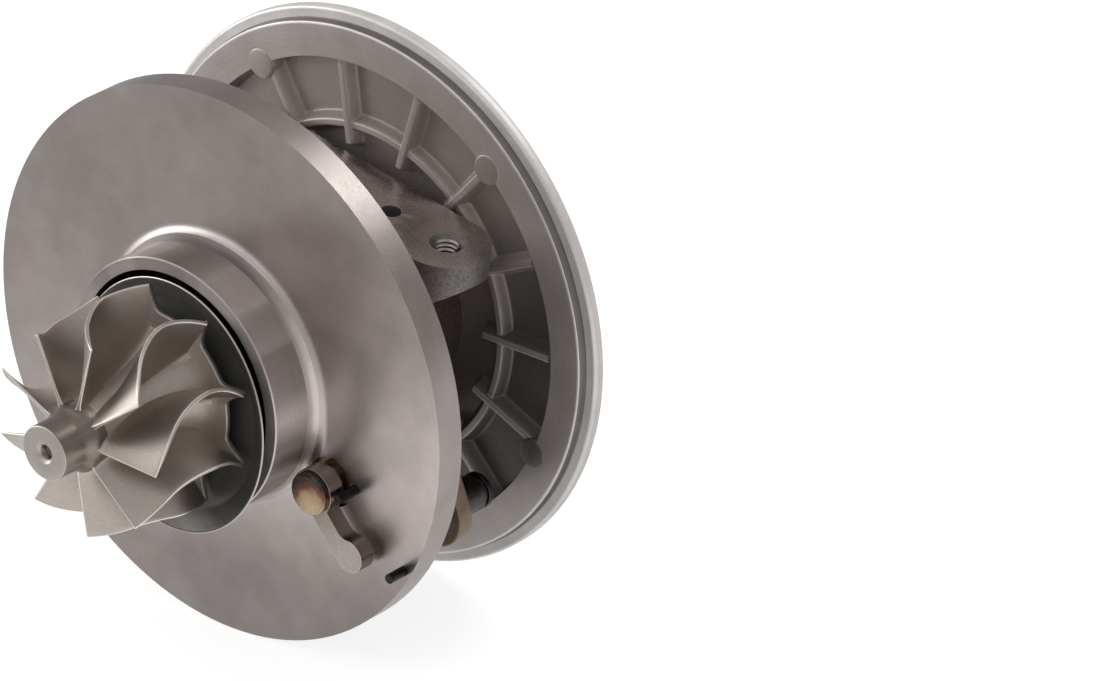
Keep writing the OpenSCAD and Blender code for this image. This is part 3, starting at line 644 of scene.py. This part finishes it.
def plate_finish(centre, facing):
    # Finish of a backplate face from its centre and the way it faces along the shaft; crests and rim edges get
    # painted highlights and the rim's step a painted shade
    r, rise = math.hypot(centre.x, centre.z), centre.y - PLATE_Y
    # Rib and ridge crests: painted highlight
    if r < POCKET_R - 1.0 and rise < 1.7 and facing < -0.7:
        return plate_turned_and_crest_highlight
    # Rim edges: painted highlight lines
    if (STEP_R - 0.55 < r < STEP_R + 0.05 and rise < 0.3) or (r > PLATE_R - 0.6 and rise < 2.7):
        return plate_edge_highlight
    # Outward step of the rim: painted shade
    if STEP_R - 0.1 < r < STEP_R + 0.4 and rise < 1.95:
        return plate_step_shade
    if r < POCKET_R and rise < 6.0:
        return plate_cast
    return plate_band if r > STEP_R + 0.1 else plate_turned_and_crest_highlight


def plate_outline():
    # Radius and station of each ring of the plate, with no station where the pockets give it
    edge = [0.5, 0.7, 0.85, 1.0, 1.15, 1.3, 1.45, 1.6, 1.75, 1.95, 2.2]
    radii = [POCKET_IN_R, 22.0, 24.0, 26.0, 27.6, 29.0, 29.9, 30.15, 30.4, 30.65, 30.9, 31.15, 31.4, 31.8, 32.4]
    radii += [RIDGE_R - e for e in reversed(edge)]
    radii += [RIDGE_R - 0.25, RIDGE_R, RIDGE_R + 0.25]
    radii += [RIDGE_R + e for e in edge]
    radii += [38.4, 40.2, 42.0, 44.0, 46.0, 47.4]
    radii += [POCKET_R - e for e in (1.4, 1.15, 0.95, 0.75, 0.55, 0.35, 0.2, 0.08, 0.0)]
    rim_back, neck = PLATE_Y + 4.5, PLATE_Y + 7.7
    return [(r, None) for r in radii] + [
        (POCKET_R + 0.15, PLATE_Y), (51.0, PLATE_Y), (53.5, PLATE_Y), (56.1, PLATE_Y), (56.4, PLATE_Y + 0.03),
        (56.55, PLATE_Y + 0.1), (STEP_R, PLATE_Y + 0.25), (STEP_R, PLATE_Y + 1.7), (56.68, PLATE_Y + 1.86),
        (56.95, PLATE_Y + 1.94), (58.4, PLATE_Y + 2.04), (58.75, PLATE_Y + 2.12), (59.08, PLATE_Y + 2.34),
        (PLATE_R, PLATE_Y + 2.65), (PLATE_R, rim_back - 0.3), (59.1, rim_back - 0.08), (58.9, rim_back),
        (55.4, rim_back), (55.4, neck - 0.5), (55.25, neck - 0.15), (54.9, neck), (50.0, neck), (SPIGOT_R, neck),
        (SPIGOT_R, neck + 0.8), (43.3, neck + 0.8), (43.3, neck + 3.3), (SPIGOT_R, neck + 3.3),
        (SPIGOT_R, FACE_Y - 0.5), (44.5, FACE_Y), (40.0, FACE_Y), (30.0, FACE_Y), (16.0, FACE_Y), (7.7, FACE_Y),
        (7.7, 43.8), (11.0, 43.8), (11.0, 39.5), (18.6, 39.5), (18.6, 41.7), (POCKET_IN_R, 41.7),
        (POCKET_IN_R, PLATE_Y + POCKET_DEEP)]


def backplate():
    # A grid wrapped round the shaft axis, closer together at each rib
    near = [0, 0.3, 0.5, 0.7, 0.85, 1.0, 1.15, 1.3, 1.45, 1.6, 1.75, 1.95, 2.2]
    spread = 4
    half = len(near) - 1 + spread
    profile = plate_outline()
    around, along = RIBS * 2 * half, len(profile) - 1
    bm = bmesh.new()
    bmesh.ops.create_grid(bm, x_segments=around, y_segments=along, size=1.0)
    for v in bm.verts:
        i = round((v.co.x + 1) / 2 * around)
        j = round((v.co.y + 1) / 2 * along)
        rib, step = divmod(i, 2 * half)
        back = step > half
        step = 2 * half - step if back else step
        radius, y = profile[j]
        mid = radius * math.pi / RIBS
        if mid <= EVEN_BELOW:
            off = mid * step / half
        elif step < len(near):
            off = near[step]
        else:
            off = mix(near[-1], mid, (step - len(near) + 1) / spread)
        turn = 360.0 / RIBS * (rib + (1 if back else 0)) + (-1 if back else 1) * math.degrees(off / radius)
        if y is None:
            y = PLATE_Y + pocket(radius, off)
        v.co = at(radius, turn + RIB_TURN, y)
    settle(bm, 2e-6)
    finishes = [plate_cast, plate_turned_and_crest_highlight, plate_band, plate_edge_highlight, plate_step_shade]
    for f in bm.faces:
        f.material_index = finishes.index(plate_finish(f.calc_center_median() / MM, f.normal.y))
    add_piece("backplate_casting", bm, "housing", finishes, 40.0, ("backplate",))


def backplate_bosses():
    bm = lathe([(AXIS_R, PLATE_Y - 0.2), (2.7, PLATE_Y - 0.2), (3.1, PLATE_Y - 0.08), (3.3, PLATE_Y + 0.2),
                (3.45, PLATE_Y + 2.0), (3.6, PLATE_Y + 5.2), (AXIS_R, PLATE_Y + 5.2)], 48, closed=False)
    bmesh.ops.remove_doubles(bm, verts=bm.verts, dist=5e-5)
    bmesh.ops.translate(bm, verts=bm.verts, vec=((POCKET_R + 0.2) * MM, 0, 0))
    base = bm.verts[:] + bm.edges[:] + bm.faces[:]
    for turn in BOSS_TURNS:
        copy = bmesh.ops.duplicate(bm, geom=base)["geom"]
        bmesh.ops.rotate(bm, verts=verts_of(copy), cent=(0, 0, 0), matrix=about_shaft(turn))
    bmesh.ops.delete(bm, geom=verts_of(base), context="VERTS")
    bmesh.ops.recalc_face_normals(bm, faces=bm.faces)
    add_piece("backplate_bosses", bm, "housing", [plate_cast], 40.0)


# Housing, crank and shield


def housing_finish(centre, r, normal):
    # Finish of a housing face from its centre, its outer radius and the way it faces
    flat = abs(normal.y) > 0.9
    if centre.y < FLANGE_T and r > FLANGE_R - 0.1 and not flat:
        return rim_iron
    if (centre.z > FEED_TOP and normal.z > 0.9) or (centre.z < DRAIN_TOP and normal.z < -0.9):
        return pad_iron
    if centre.z > FEED_SIDE_Z and centre.y > FEED_SIDE_Y and (normal.y < -0.5 or r > FEED_SIDE_R):
        return pad_side
    if centre.y > FLANGE_T - 0.05 and r < FLANGE_R - 0.1:
        return raw_iron
    if centre.y < COLLAR_FACE_Y and flat and r > COLLAR_BORE_R:
        return collar_face
    if centre.y < -0.02 and r > COLLAR_BORE_R:
        # Fillet faces turned out from the flange face get the painted highlight
        if normal.y < FILLET_HIGHLIGHT_END:
            return machined_iron
        return fillet_highlight_iron if normal.y < -0.02 else collar_iron
    if centre.y < 0.6 and r < COLLAR_BORE_R:
        return raw_iron
    return machined_iron


def bearing_housing():
    finishes = [machined_iron, raw_iron, pad_iron, collar_iron, pad_side, rim_iron, painted_edge_highlight, collar_face,
                fillet_highlight_iron]
    # Its rounded edges get the painted highlight finish
    made = dress("bearing_housing", "housing", finishes, 0.25, 32.0, 3, painted_edge_highlight)
    dots = made.data.vertices
    for face in made.data.polygons:
        r = max(math.hypot(dots[i].co.x, dots[i].co.z) for i in face.vertices) / MM
        face.material_index = finishes.index(housing_finish(face.center / MM, r, face.normal))


def inner_lever():
    finishes = [lever_side, lever_tint, painted_edge_highlight]
    # Its rounded edges get the painted highlight finish
    made = dress("inner_lever", "vane_crank", finishes, 0.3, 35.0, 3, painted_edge_highlight)
    for face in made.data.polygons:
        face.material_index = finishes.index(lever_tint if face.normal.y < -0.9 else lever_side)


def heat_shield():
    # A loose bowl of sheet that has sunk and leans in the collar
    bm = lathe([(SHIELD_IN_R, 2.6), (21.2, 2.6), (21.5, 2.55), (21.9, 2.36), (25.35, 0.16), (25.6, 0.02),
                (25.8, 0.04), (25.95, 0.14), (SHIELD_R, 0.3), (25.85, 0.5), (22.3, 3.16), (21.95, 3.34),
                (21.6, 3.4), (SHIELD_IN_R, 3.4)], 180)
    finishes = [shield_oxide_and_shade, shield_lip_highlight]
    for face in bm.faces:
        c = face.calc_center_median() / MM
        # The lip gets the painted highlight
        on_lip = math.hypot(c.x, c.z) > SHIELD_R - 0.3
        face.material_index = finishes.index(shield_lip_highlight if on_lip else shield_oxide_and_shade)
    sink = about_shaft(SINK_DIR, 4) @ Matrix.Translation((SHIELD_DROP * MM, LIP_Y * MM, 0))
    lean = about_shaft(LEAN_DIR - SINK_DIR, 4) @ Matrix.Rotation(math.radians(SHIELD_LEAN), 4, "Z")
    bmesh.ops.transform(bm, verts=bm.verts, matrix=sink @ lean)
    add_piece("heat_shield_bowl", bm, "housing", finishes, 35.0, ("heat_shield",))


def thread(name, mouth, down):
    # A helical thread crest in a tapped hole, from its mouth into the pad
    bm = bmesh.new()
    steps, turns, pitch, first = 36, 7, 1.0, 0.7
    outline = [(2.52, -0.42), (2.16, -0.06), (2.16, 0.06), (2.52, 0.42)]
    x, y, z = mouth
    dots = [bm.verts.new(Vector((x + r, y, z + down * (first + h))) * MM) for r, h in outline]
    for a, b in zip(dots, dots[1:] + dots[:1]):
        bm.edges.new((a, b))
    bmesh.ops.spin(bm, geom=bm.verts[:] + bm.edges[:], cent=Vector((x, y, z)) * MM, axis=(0, 0, 1),
                   dvec=(0, 0, down * pitch / steps * MM), angle=math.tau * turns, steps=steps * turns,
                   use_merge=False, use_duplicate=False)
    close_ends(bm)
    add_piece(name, bm, "housing", [thread_bright], 30.0)


bearing_housing()
backplate()
backplate_bosses()
turbine_wheel()
compressor_wheel()
heat_shield()
thread("feed_thread_right", FEED, -1)
thread("feed_thread_left", (-FEED[0], FEED[1], FEED[2]), -1)
thread("drain_thread_left", DRAIN[0], 1)
thread("drain_thread_right", DRAIN[1], 1)
dress("cover_o_ring", "housing", [seal_red], 0.0, 60.0)
dress("crank_bush", "housing", [bush_tan], 0.15)
dress("stop_dowel", "housing", [dowel_black], 0.2)
dress("locating_dowel", "housing", [dowel_black], 0.2)
dress("backplate_screws", "housing", [screw_dark], 0.15)
dress("crank_shaft", "vane_crank", [head_heat_tint_shade_highlight], 0.15)
inner_lever()
dress("outer_arm", "vane_crank", [arm_tan], 0.4, 35.0, 3)
dress("actuator_stud", "vane_crank", [stud_dark], 0.15)
dress("lock_nut", "rotor", [screw_dark], 0.25)
dress("rotor_shaft", "rotor", [ground_steel], 0.15)

# Inner pieces keep their CAD shape and get a finish
for name, mat in (("journal_bearing", bronze), ("bearing_pin", ground_steel), ("thrust_bearing", bronze),
                  ("turbine_seal_ring", ring_iron), ("compressor_seal_ring", ring_iron),
                  ("backplate_seal", seal_black), ("thrust_collar", ground_steel), ("oil_flinger", ground_steel)):
    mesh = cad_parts[name].data
    mesh.materials.clear()
    mesh.materials.append(mat)

# Studio: the part stands on its two rims, turned a little about its shaft
STAND_TURN = -11.0
LEAN = Matrix.Rotation(math.radians(STAND_TURN), 4, "Y")
SLOPE = math.atan((PLATE_R - FLANGE_R) / (PLATE_Y + 2.7))
ACROSS = (0.761, 0.648, 0.0)
FLOOR_DIM, FLOOR_WHITE = 0.19, 0.82
FADE_FROM, FADE_TO = -0.15, -0.045
ROOM_LIGHT = 0.53
VIEW_AZIMUTH, VIEW_ELEVATION, VIEW_ROLL = 41.03, 25.857, -1.588
VIEW_LENS = 224.42
VIEW_FROM = (852.82, -878.08, 595.66)


def floor():
    # Pale floor that is white in view and dimmer out of view at the front left
    bm = bmesh.new()
    bmesh.ops.create_grid(bm, x_segments=1, y_segments=1, size=6.0)
    tilt = Matrix.Rotation(-SLOPE, 4, "X")
    bmesh.ops.transform(bm, verts=bm.verts, matrix=LEAN @ Matrix.Translation((0, 0, -FLANGE_R * MM)) @ tilt)
    mesh = bpy.data.meshes.new("floor")
    bm.to_mesh(mesh)
    bm.free()
    made = bpy.data.objects.new("floor", mesh)
    scene.collection.objects.link(made)
    mat = bpy.data.materials.new("pale_floor")
    mat.use_nodes = True
    tree = mat.node_tree
    tree.nodes.clear()
    out = node(tree, "OutputMaterial")
    matte = node(tree, "BsdfDiffuse", {"Color": (0.4, 0.4, 0.4, 1)})
    across = node(tree, "VectorMath", {1: tuple(LEAN.to_3x3() @ Vector(ACROSS))}, operation="DOT_PRODUCT")
    join(tree, object_point(tree), across.inputs[0])
    limits = {"From Min": FADE_FROM, "From Max": FADE_TO, "To Min": FLOOR_DIM, "To Max": FLOOR_WHITE}
    near = node(tree, "MapRange", limits, interpolation_type="SMOOTHSTEP")
    join(tree, across.outputs["Value"], near.inputs["Value"])
    path = node(tree, "LightPath")
    seen = node(tree, "Math", operation="MAXIMUM")
    join(tree, path.outputs["Is Camera Ray"], seen.inputs[0])
    join(tree, path.outputs["Is Glossy Ray"], seen.inputs[1])
    shown = node(tree, "Math", operation="MAXIMUM")
    join(tree, seen.outputs["Value"], shown.inputs[0])
    join(tree, path.outputs["Is Transmission Ray"], shown.inputs[1])
    level = node(tree, "Math", operation="MULTIPLY")
    join(tree, shown.outputs["Value"], level.inputs[0])
    join(tree, near.outputs["Result"], level.inputs[1])
    glow = node(tree, "Emission", {"Color": (1, 1, 1, 1)})
    join(tree, level.outputs["Value"], glow.inputs["Strength"])
    both = node(tree, "AddShader")
    join(tree, matte.outputs["BSDF"], both.inputs[0])
    join(tree, glow.outputs["Emission"], both.inputs[1])
    join(tree, both.outputs["Shader"], out.inputs["Surface"])
    mesh.materials.append(mat)


def backdrop():
    world = bpy.data.worlds.new("studio")
    scene.world = world
    world.use_nodes = True
    tree = world.node_tree
    tree.nodes.clear()
    out = node(tree, "OutputWorld")
    room = node(tree, "Background", {"Color": (1.0, 0.985, 0.97, 1), "Strength": ROOM_LIGHT})
    join(tree, room.outputs["Background"], out.inputs["Surface"])


def soft_box(name, place, look, size, power):
    lamp = bpy.data.lights.new(name, "AREA")
    lamp.shape = "RECTANGLE"
    lamp.size, lamp.size_y = size
    lamp.energy = power
    made = bpy.data.objects.new(name, lamp)
    scene.collection.objects.link(made)
    place, look = Vector(place), Vector(look)
    aim = (look - place).to_track_quat("-Z", "Y").to_matrix().to_4x4()
    made.matrix_world = LEAN @ Matrix.Translation(place) @ aim


def camera():
    a, e, r = math.radians(VIEW_AZIMUTH), math.radians(VIEW_ELEVATION), math.radians(VIEW_ROLL)
    ahead = Vector((-math.sin(a) * math.cos(e), math.cos(a) * math.cos(e), -math.sin(e)))
    right0 = Vector((math.cos(a), math.sin(a), 0))
    up0 = right0.cross(ahead)
    right = right0 * math.cos(r) + up0 * math.sin(r)
    up = up0 * math.cos(r) - right0 * math.sin(r)
    data = bpy.data.cameras.new("photo_camera")
    data.sensor_fit = "HORIZONTAL"
    data.sensor_width = 36.0
    data.lens = VIEW_LENS
    data.clip_start, data.clip_end = 0.1, 30.0
    made = bpy.data.objects.new("photo_camera", data)
    scene.collection.objects.link(made)
    turn = Matrix((right, up, -ahead)).transposed().to_4x4()
    made.matrix_world = LEAN @ Matrix.Translation(Vector(VIEW_FROM) * MM) @ turn
    scene.camera = made


floor()
backdrop()
soft_box("key", (-0.75, -0.95, 0.95), (0, 0.02, 0), (2.0, 2.0), 4.6)
soft_box("side", (-1.25, -0.55, 0.30), (0, 0, 0), (1.0, 0.66), 6)
soft_box("back", (0.30, 0.85, 0.95), (0, 0, 0), (0.45, 0.45), 3.6)
camera()
